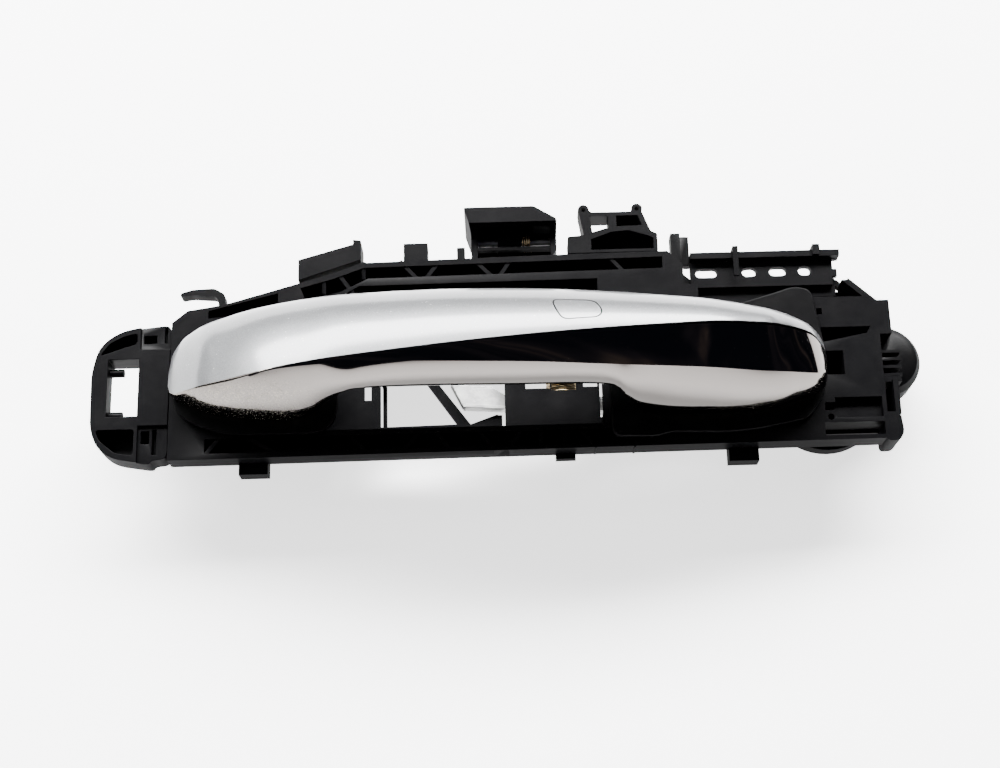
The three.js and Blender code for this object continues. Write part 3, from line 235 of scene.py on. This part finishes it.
# bright plating: smudges, hairlines, and pits and pale grains at the worn feet
def chromeLook(name):
    mat, t = startMaterial(name)
    where = t.node("ShaderNodeTexCoord", {}, (), out=3)
    lo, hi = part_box("grip_inner_shell")
    x = t.node("ShaderNodeSeparateXYZ", {}, [where], out=0)
    z = t.node("ShaderNodeSeparateXYZ", {}, [where], out=2)
    along = (x - lo[0]) / (hi[0] - lo[0])
    height = (z - lo[2]) / (hi[2] - lo[2])
    front = (1.0 - t.ramp(along, 0.16, 0.30)) * (1.0 - t.ramp(height, 0.50, 0.85))
    back = t.ramp(along, 0.74, 0.90) * (1.0 - t.ramp(height, 0.22, 0.42)) * 0.75
    worn = front + back
    cloud = t.noise(where, 120, 4.0, 0.6)
    pits = t.ramp(t.noise(where, chrome["pit"], 1.5, 0.5) + (worn * (cloud + 0.5) - 1.0) * 0.16, 0.54, 0.62)
    stray = t.ramp(t.noise(where, 900, 2.0, 0.5), 0.76, 0.78)
    stain = t.ramp(t.noise(where, 260, 6.0, 0.7) + worn * 0.12, 0.62, 0.80)
    smudge = t.noise(where, 34, 4.0, 0.6)
    hair = t.ramp(t.noise(where, 700, 3.0, 0.5, stretch=(0.12, 3.0, 3.0)), 0.70, 0.76)
    colour = t.mix(stain * 0.35 + worn * 0.12, rgba(chrome["base"]), rgba(chrome["dull"]))
    colour = t.mix(pits * 0.30 + stray * 0.3, colour, rgba(chrome["pitted"]))
    grain = t.ramp(t.noise(where, chrome["pit"] * 0.7, 2.0, 0.6) + worn * 0.10, 0.64, 0.70) * worn
    colour = t.mix(grain * 0.35, colour, rgba(chrome["grain"]))
    rough = chrome["rough"] + grain * 0.12 + smudge * 0.03 + stain * 0.12 + pits * 0.12 + hair * 0.05
    bump = t.node("ShaderNodeBump", {}, {"Strength": 0.06, "Distance": 0.0002,
                                         "Height": stain * 0.2 - pits * 0.8 - hair * 0.05})
    shader = t.node("ShaderNodeBsdfPrincipled", {}, {
        "Base Color": colour, "Roughness": rough, "Metallic": 1.0, "Normal": bump})
    t.node("ShaderNodeOutputMaterial", {}, [shader])
    return mat


materials = {name: plainLook(name, look) for name, look in looks.items()}
materials["silver_paint"] = paintLook("silver_paint")
materials["chrome"] = chromeLook("chrome")
print("materials made:", len(materials))


# puts a finished mesh in the scene, in place of its CAD nodes
def addObject(name, mesh, nodes):
    mesh.materials.clear()
    mesh.materials.append(materials[slotOf[nodes[0]]])
    obj = bpy.data.objects.new(name, mesh)
    bpy.context.scene.collection.objects.link(obj)
    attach(obj, bodyOf[nodes[0]])
    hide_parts(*nodes)
    return obj


# the object's mesh with its modifiers applied; the object itself is removed
def baked(obj):
    bpy.context.view_layer.update()
    evaluated = obj.evaluated_get(bpy.context.evaluated_depsgraph_get())
    mesh = bpy.data.meshes.new_from_object(evaluated)
    bpy.data.objects.remove(obj)
    return mesh


def cleaned(mesh, distance=2e-6):
    bm = bmesh.new()
    bm.from_mesh(mesh)
    bmesh.ops.remove_doubles(bm, verts=bm.verts, dist=distance)
    bmesh.ops.dissolve_degenerate(bm, edges=bm.edges, dist=distance)
    bmesh.ops.recalc_face_normals(bm, faces=bm.faces)
    bm.to_mesh(mesh)
    bm.free()
    return mesh


def smoothed(mesh, degrees=35.0):
    mesh.shade_smooth()
    mesh.set_sharp_from_angle(angle=math.radians(degrees))
    return mesh


# round on the edges, mm
edges = {"carrier_frame": 0.22, "front_end_frame": 0.35, "crash_hood": 0.35, "cable_bracket": 0.3,
         "seal_plug": 0.5, "front_pad": 0.6, "rear_pad": 0.6, "default": 0.2}


# a copy of a CAD piece with its flat faces joined and its edges rounded
def roundedCopy(node):
    source = frame["nodes"][node]
    mesh = source.data.copy()
    mesh.transform(source.matrix_world)
    bm = bmesh.new()
    bm.from_mesh(mesh)
    bmesh.ops.remove_doubles(bm, verts=bm.verts, dist=4e-6)
    bmesh.ops.dissolve_limit(bm, angle_limit=math.radians(1.5), verts=bm.verts, edges=bm.edges,
                             delimit={"NORMAL"})
    bmesh.ops.recalc_face_normals(bm, faces=bm.faces)
    bm.to_mesh(mesh)
    bm.free()
    temp = bpy.data.objects.new("temp", smoothed(mesh, 30))
    bpy.context.scene.collection.objects.link(temp)
    bevel = temp.modifiers.new("edge", "BEVEL")
    bevel.width = edges.get(node, edges["default"]) * mm
    bevel.segments = 2
    bevel.limit_method = "ANGLE"
    bevel.angle_limit = math.radians(38)
    bevel.use_clamp_overlap = True
    bevel.harden_normals = True
    return addObject(node + "_fine", baked(temp), [node])


def newGeometryTree(name, inputs):
    tree = bpy.data.node_groups.new(name, "GeometryNodeTree")
    tree.interface.new_socket("Geometry", in_out="OUTPUT", socket_type="NodeSocketGeometry")
    for label, kind in inputs:
        tree.interface.new_socket(label, in_out="INPUT", socket_type="NodeSocket" + kind)
    return tree, Tree(tree.nodes, tree.links)


# an object with the tree as its modifier, inputs set by socket identifier, baked to a mesh
def runTree(tree, values, name):
    obj = bpy.data.objects.new(name, bpy.data.meshes.new(name))
    bpy.context.scene.collection.objects.link(obj)
    modifier = obj.modifiers.new(name, "NODES")
    modifier.node_group = tree
    for item in tree.interface.items_tree:
        if item.in_out == "INPUT" and item.name in values:
            modifier[item.identifier] = values[item.name]
    return baked(obj)


def finishTree(t, geometry, material):
    real = t.node("GeometryNodeRealizeInstances", {}, [geometry])
    done = t.node("GeometryNodeSetMaterial", {}, {"Geometry": real, "Material": material})
    t.node("NodeGroupOutput", {}, [done])


# wire swept along a helix round the Y axis
def springTree(material):
    tree, t = newGeometryTree("wireCoil", [("Radius", "Float"), ("Wire", "Float"), ("Length", "Float"),
                                           ("Turns", "Float"), ("Steps", "Int")])
    given = t.nodes.new("NodeGroupInput")
    radius, wire, length, turns, steps = [Val(t, given.outputs[i]) for i in range(5)]
    line = t.node("GeometryNodeCurvePrimitiveLine", {}, {"Start": (0, 0, 0), "End": (0, 1, 0)})
    points = t.node("GeometryNodeResampleCurve", {}, {"Curve": line, "Count": steps})
    share = t.node("GeometryNodeSplineParameter", {}, ())
    angle = share * turns * (2 * math.pi)
    height = wire + share * (length - wire * 2.0)
    place = t.node("ShaderNodeCombineXYZ", {}, [angle.math("COSINE") * radius, height,
                                                angle.math("SINE") * radius])
    moved = t.node("GeometryNodeSetPosition", {}, {"Geometry": points, "Position": place})
    ring = t.node("GeometryNodeCurvePrimitiveCircle", {}, {"Resolution": 14, "Radius": wire})
    swept = t.node("GeometryNodeCurveToMesh", {}, {"Curve": moved, "Profile Curve": ring, "Fill Caps": True})
    finishTree(t, swept, material)
    return tree


# wire is its radius, mm
springs = {"return_spring": {"turns": 5.0, "wire": 0.6, "axis": "Y"},
           "catch_spring": {"turns": 4.0, "wire": 0.3, "axis": "X"}}


def makeSprings():
    tree = springTree(materials["spring_steel"])
    for node, spec in springs.items():
        lo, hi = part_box(node)
        centre = (Vector(lo) + Vector(hi)) / 2
        size = Vector(hi) - Vector(lo)
        upright = spec["axis"] == "Y"
        across, length = (size.x, size.y) if upright else (size.z, size.x)
        values = {"Radius": across / 2 - spec["wire"] * mm, "Wire": spec["wire"] * mm, "Length": length,
                  "Turns": spec["turns"], "Steps": int(spec["turns"] * 40)}
        mesh = runTree(tree, values, node + "Coil")
        turn = Matrix.Identity(4) if upright else Matrix.Rotation(-math.pi / 2, 4, "Z")
        start = Vector((centre.x, lo[1], centre.z)) if upright else Vector((lo[0], centre.y, centre.z))
        mesh.transform(Matrix.Translation(start) @ turn)
        addObject(node + "_fine", smoothed(cleaned(mesh), 60), [node])


# long lines of the grip as (share of its length, mm): Y lines run beside the arms' plane at armPlane,
# rise lines above the feet
grip = {
    "wall": 2.2, "grooveWidth": 0.45, "grooveRound": 0.16, "foot": 38.1, "bar": 57.0, "armPlane": -17.0,
    "frontCurve": (42.0, 63.0), "rearCurve": (58.0, 72.0), "stations": 260,
    "topY": [(0, -13), (0.012, -6), (0.037, -1.8), (0.08, 1), (0.2, 3.6), (0.31, 4), (0.52, 3.5), (0.73, 1),
             (0.89, -1.8), (0.955, -4.5), (0.985, -7.8), (0.995, -11), (1, -16.5)],
    "topRise": [(0, 3), (0.037, 7), (0.08, 11), (0.2, 19.5), (0.31, 24), (0.5, 26), (0.73, 24), (0.89, 17),
                (0.955, 11.5), (1, 5)],
    "partY": [(0, -19.5), (0.02, -23.4), (0.08, -23.7), (0.2, -22), (0.31, -20.6), (0.52, -17), (0.73, -13.6),
              (0.89, -10.7), (0.955, -10.2), (0.985, -12.4), (1, -17.5)],
    "partRise": [(0, 4.5), (0.037, 13), (0.08, 20), (0.2, 31.4), (0.31, 36.5), (0.5, 38.8), (0.73, 36.5),
                 (0.89, 27.6), (0.93, 22.6), (0.955, 18.6), (0.985, 12), (1, 6)],
    "creaseY": [(0, -20), (0.02, -24.1), (0.08, -24.5), (0.2, -22.9), (0.31, -23), (0.52, -24.2),
                (0.8, -25.9), (0.955, -24.4), (1, -19.8)],
    "creaseRise": [(0, 4.1), (0.037, 12.5), (0.08, 19.4), (0.2, 30.7), (0.31, 34.4), (0.5, 35), (0.73, 32),
                   (0.89, 23), (0.955, 16.6), (0.985, 12), (1, 6)],
    "lowY": [(0, -21.5), (0.037, -26.5), (0.08, -29.6), (0.13, -31), (0.19, -31.6), (0.215, -31),
             (0.26, -28.4), (0.33, -27.4), (0.52, -27.7), (0.65, -28.2), (0.69, -30.6), (0.735, -32.6),
             (0.79, -33.2), (0.84, -33.2), (0.9, -32.2), (0.955, -29.4), (0.985, -27), (1, -23)],
}


# smooth curve through the points; its node works from 0 to 1, so the result is put back to mm
def curveNode(t, u, points):
    low = min(p[1] for p in points)
    high = max(p[1] for p in points)
    n = t.nodes.new("ShaderNodeFloatCurve")
    t.links.new(u.socket, n.inputs[1])
    curve = n.mapping.curves[0]
    places = [(a, (b - low) / (high - low)) for a, b in points]
    curve.points[0].location, curve.points[1].location = places[0], places[-1]
    for place in places[1:-1]:
        curve.points.new(*place)
    n.mapping.update()
    return Val(t, n.outputs[0]) * (high - low) + low


def smallest(a, b):
    return a.math("MINIMUM", b)


# the corners of the grip's section at u, each as (y, z)
def gripLines(t, u, length):
    lines = {k: curveNode(t, u, grip[k]) for k in ("topY", "partY", "creaseY", "lowY")}
    rises = {k: curveNode(t, u, grip[k]) + grip["foot"] for k in ("topRise", "partRise", "creaseRise")}
    x = u * length
    front = t.ramp(x, *grip["frontCurve"])
    back = 1.0 - t.ramp(x, length - grip["rearCurve"][1], length - grip["rearCurve"][0])
    under = grip["foot"] + (grip["bar"] - grip["foot"]) * smallest(front, back) + 0.02
    top, part = (lines["topY"], rises["topRise"]), (lines["partY"], rises["partRise"])
    crease = (lines["creaseY"], rises["creaseRise"])
    low = smallest(under, top[1] - 1.5)
    lower = (lines["lowY"], low + smallest((crease[1] - low) * 0.35, 4.0))
    inset = smallest((top[0] - lower[0]) * 0.25, 5.0)
    return {"top": top, "part": part, "crease": crease, "lower": lower, "lowIn": (lower[0] + inset, low),
            "lowOut": (top[0] - inset, low), "floor": low}


def between(a, b, share):
    return tuple(p + (q - p) * share for p, q in zip(a, b))


def bent(a, b, c, v):
    w = 1.0 - v
    return tuple(p * (w * w) + q * (v * w * 2.0) + r * (v * v) for p, q, r in zip(a, b, c))


# a grid over u along the grip and v along one stretch of its section
def gripStrip(t, steps, section, length):
    grid = t.node("GeometryNodeMeshGrid", {}, {"Size X": 1.0, "Size Y": 1.0, "Vertices X": grip["stations"],
                                               "Vertices Y": steps + 1})
    at = t.node("GeometryNodeInputPosition", {}, ())
    u = t.node("ShaderNodeSeparateXYZ", {}, [at], out=0) + 0.5
    v = t.node("ShaderNodeSeparateXYZ", {}, [at], out=1) + 0.5
    y, z = section(gripLines(t, u, length), v)
    place = t.node("ShaderNodeCombineXYZ", {}, [u * (length * mm), y * mm, z * mm])
    return t.node("GeometryNodeSetPosition", {}, {"Geometry": grid, "Position": place})


def coverSection(s, v):
    shoulder = (s["top"][0] + (s["part"][0] - s["top"][0]) * 0.22,
                s["top"][1] + (s["part"][1] - s["top"][1]) * 0.86)
    return bent(s["top"], shoulder, s["part"], v)


def bandSection(s, v):
    middle = between(s["part"], s["crease"], 0.5)
    return bent(s["part"], (middle[0], middle[1] + 0.3), s["crease"], v * 0.94 + 0.06)


def cheekSection(s, v):
    cheek = (s["lower"][0] + (s["crease"][0] - s["lower"][0]) * 0.12,
             s["lower"][1] + (s["crease"][1] - s["lower"][1]) * 0.6)
    return bent(s["crease"], cheek, s["lower"], v)


def chinSection(s, v):
    return bent(s["lower"], (s["lower"][0], s["floor"]), s["lowIn"], v)


def soleSection(s, v):
    return between(s["lowIn"], s["lowOut"], v)


def backSection(s, v):
    return bent(s["lowOut"], (s["top"][0], s["floor"]), s["top"], v * 0.95)


# one skin of the grip: its strips side by side, joined, and set where the CAD piece is
def gripSkin(name, sections, length, node):
    tree, t = newGeometryTree(name, [("Merge", "Float")])
    given = t.nodes.new("NodeGroupInput")
    strips = [gripStrip(t, steps, section, length) for section, steps in sections]
    joined = t.nodes.new("GeometryNodeJoinGeometry")
    for strip in reversed(strips):
        t.links.new(strip.socket, joined.inputs[0])
    merged = t.node("GeometryNodeMergeByDistance", {}, {"Geometry": Val(t, joined.outputs[0]),
                                                        "Distance": Val(t, given.outputs[0])})
    finishTree(t, merged, materials[slotOf[node]])
    mesh = runTree(tree, {"Merge": 4e-6}, name)
    lo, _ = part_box(node)
    armPlane = (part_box("hinge_arm")[0][1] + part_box("hinge_arm")[1][1]) / 2
    mesh.transform(Matrix.Translation((lo[0], armPlane - grip["armPlane"] * mm, 0.0)))
    return mesh


# faces turned outward from the grip's middle line, then thickened inward
def outwardShell(mesh, thickness):
    bm = bmesh.new()
    bm.from_mesh(mesh)
    bmesh.ops.recalc_face_normals(bm, faces=bm.faces)
    middle = Vector((0.0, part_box("hinge_arm")[0][1] + 0.006, 0.055))
    score = sum((f.calc_center_median() - middle).dot(f.normal) * f.calc_area() for f in bm.faces
                if abs(f.calc_center_median().x) < 0.04)
    if score < 0:
        bmesh.ops.reverse_faces(bm, faces=bm.faces)
    bm.to_mesh(mesh)
    bm.free()
    temp = bpy.data.objects.new("temp", mesh)
    bpy.context.scene.collection.objects.link(temp)
    solidify = temp.modifiers.new("wall", "SOLIDIFY")
    solidify.thickness = thickness * mm
    solidify.offset = -1.0
    solidify.use_even_offset = False
    solidify.thickness_clamp = 0.6
    return baked(temp)


# upright block with the touch field's outline from the CAD, grown by some width
def touchBlock(extra):
    node = frame["nodes"]["lock_touch_pad"].data
    bm = bmesh.new()
    for vertex in node.vertices:
        bm.verts.new((vertex.co.x, vertex.co.y, 0.0))
    bmesh.ops.convex_hull(bm, input=bm.verts)
    bmesh.ops.delete(bm, geom=[v for v in bm.verts if not v.link_faces], context="VERTS")
    bmesh.ops.dissolve_limit(bm, angle_limit=math.radians(1), verts=bm.verts, edges=bm.edges)
    corners = [v.co.copy() for v in bm.verts if v.is_boundary or len(v.link_edges) == 2]
    bm.free()
    middle = sum(corners, Vector()) / len(corners)
    corners.sort(key=lambda p: math.atan2(p.y - middle.y, p.x - middle.x))
    lo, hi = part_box("lock_touch_pad")
    block = bmesh.new()
    rings = []
    for z in (lo[2] - 0.002, hi[2] + 0.004):
        ring = []
        for p in corners:
            away = (p - middle).normalized() * extra
            ring.append(block.verts.new((p.x + away.x, p.y + away.y, z)))
        rings.append(ring)
    block.faces.new(rings[0])
    block.faces.new(rings[1])
    for i in range(len(corners)):
        j = (i + 1) % len(corners)
        block.faces.new((rings[0][i], rings[0][j], rings[1][j], rings[1][i]))
    bmesh.ops.recalc_face_normals(block, faces=block.faces)
    mesh = bpy.data.meshes.new("touchBlock")
    block.to_mesh(mesh)
    block.free()
    return mesh


# the mesh cut by a tool mesh, or the part of it inside the tool
def trimmed(mesh, tool, how):
    piece = bpy.data.objects.new("piece", mesh.copy())
    knife = bpy.data.objects.new("knife", tool)
    for obj in (piece, knife):
        bpy.context.scene.collection.objects.link(obj)
    modifier = piece.modifiers.new("cut", "BOOLEAN")
    modifier.operation, modifier.solver, modifier.object = how, "EXACT", knife
    result = baked(piece)
    bpy.data.objects.remove(knife)
    return result


# a small round on the cut edges
def softened(mesh):
    temp = bpy.data.objects.new("temp", smoothed(mesh, 45))
    bpy.context.scene.collection.objects.link(temp)
    bevel = temp.modifiers.new("edge", "BEVEL")
    bevel.width, bevel.segments = grip["grooveRound"] * mm, 2
    bevel.limit_method, bevel.angle_limit = "ANGLE", math.radians(50)
    bevel.harden_normals = True
    return baked(temp)


def makeGrip():
    lo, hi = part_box("grip_outer_shell")
    length = (hi[0] - lo[0]) / mm
    cover = gripSkin("gripCover", [(coverSection, 44)], length, "grip_outer_shell")
    cover = outwardShell(cover, grip["wall"])
    tub = gripSkin("gripTub", [(bandSection, 10), (cheekSection, 22), (chinSection, 10), (soleSection, 8),
                               (backSection, 12)], length, "grip_inner_shell")
    tub = outwardShell(tub, grip["wall"])
    cover = cleaned(cover)
    field = trimmed(cover, touchBlock(0.0), "INTERSECT")
    cover = trimmed(cover, touchBlock(grip["grooveWidth"] * mm), "DIFFERENCE")
    addObject("grip_outer_shell_fine", softened(cover), ["grip_outer_shell"])
    addObject("lock_touch_pad_fine", softened(field), ["lock_touch_pad"])
    addObject("grip_inner_shell_fine", smoothed(cleaned(tub), 9), ["grip_inner_shell"])


# degrees, metres, and the lens in mm
view = {"elevation": 72.0, "distance": 0.560, "roll": 1.5, "lens": 60.5, "target": (-0.0037, -0.01865, 0.034)}


def makeCamera():
    tilt, roll = math.radians(view["elevation"]), math.radians(view["roll"])
    back = Vector((0.0, -math.cos(tilt), math.sin(tilt)))
    level = Vector((0.0, math.sin(tilt), math.cos(tilt)))
    right = Vector((math.cos(roll), 0.0, 0.0)) - level * math.sin(roll)
    up = Vector((math.sin(roll), 0.0, 0.0)) + level * math.cos(roll)
    camera = bpy.data.objects.new("camera", bpy.data.cameras.new("camera"))
    bpy.context.scene.collection.objects.link(camera)
    turn = Matrix((right, up, back)).transposed().to_4x4()
    camera.matrix_world = Matrix.Translation(Vector(view["target"]) + back * view["distance"]) @ turn
    camera.data.lens = view["lens"]
    camera.data.sensor_width = 36.0
    camera.data.clip_start = 0.01
    bpy.context.scene.camera = camera


# dim room round the table, mirrored in the plating
room = {"streak": (1.0, 1.6, 5.0), "scale": 2.4,
        "tones": [(0.46, (0.012, 0.015, 0.026)), (0.58, (0.045, 0.042, 0.055)), (0.70, (0.22, 0.17, 0.15))]}


def makeRoom():
    world = bpy.data.worlds.new("room")
    world.use_nodes = True
    t = Tree(world.node_tree.nodes, world.node_tree.links)
    where = t.node("ShaderNodeTexCoord")
    cloud = t.noise(where, room["scale"], rough=0.5, stretch=room["streak"])
    tones = t.node("ShaderNodeValToRGB", {"stops": room["tones"]}, [cloud])
    background = world.node_tree.nodes["Background"]
    t.links.new(tones.socket, background.inputs["Color"])
    background.inputs["Strength"].default_value = 1.0
    bpy.context.scene.world = world


floorPaper = {"size": 12.0, "drop": 0.2, "tones": ((0.90, 0.90, 0.905), (0.93, 0.93, 0.935)), "rough": 0.65,
              "glow": 1.9}


def makeFloor():
    bpy.ops.mesh.primitive_plane_add(size=floorPaper["size"], location=(0, 0, -floorPaper["drop"] * mm))
    floor = bpy.context.object
    floor.name = "floor"
    mat, t = startMaterial("floorPaper")
    where = t.node("ShaderNodeTexCoord", {}, (), out=3)
    tone = t.mix(t.noise(where, 3.0, 3.0), *[rgba(colour) for colour in floorPaper["tones"]])
    shader = t.node("ShaderNodeBsdfPrincipled", {}, {
        "Base Color": tone, "Roughness": floorPaper["rough"], "Emission Color": (1.0, 1.0, 1.0, 1.0),
        "Emission Strength": floorPaper["glow"]})
    t.node("ShaderNodeOutputMaterial", {}, [shader])
    floor.data.materials.append(mat)


# each lamp: where it hangs, where it points, its size in metres and its power
lamps = {"rearKey": {"at": (-0.10, 1.15, 1.15), "aim": (0.0, 0.0, 0.0), "size": (3.0, 0.50), "power": 340},
         "leftFill": {"at": (-1.3, 0.35, 1.0), "aim": (0.0, 0.0, 0.0), "size": (1.1, 1.1), "power": 20},
         "warmCard": {"at": (-0.10, -1.5, 0.22), "aim": (-0.02, 0.0, 0.05), "size": (0.15, 0.10),
                      "power": 0.35, "colour": (1.0, 0.42, 0.12)},
         "rightCard": {"at": (1.1, -0.55, 0.55), "aim": (0.1, 0.0, 0.05), "size": (0.25, 0.5), "power": 3}}


def makeLamp(name, spec):
    lamp = bpy.data.lights.new(name, "AREA")
    lamp.shape = "RECTANGLE"
    lamp.size, lamp.size_y = spec["size"]
    lamp.energy = spec["power"]
    lamp.color = spec.get("colour", (1.0, 1.0, 1.0))
    obj = bpy.data.objects.new(name, lamp)
    obj.location = spec["at"]
    obj.rotation_euler = (Vector(spec["aim"]) - Vector(spec["at"])).to_track_quat("-Z", "Y").to_euler()
    bpy.context.scene.collection.objects.link(obj)


# pieces with a shape of their own; all the others are rounded copies
made = {"grip_outer_shell", "grip_inner_shell", "lock_touch_pad", *springs}
for nodeName in sorted(frame["nodes"]):
    if nodeName not in made:
        roundedCopy(nodeName)
print("rounded pieces made")
makeSprings()
print("springs made")
makeGrip()
print("grip made")
makeFloor()
for lampName, lampSpec in lamps.items():
    makeLamp(lampName, lampSpec)
makeRoom()
print("floor, lamps and room made")
makeCamera()
print("camera placed")
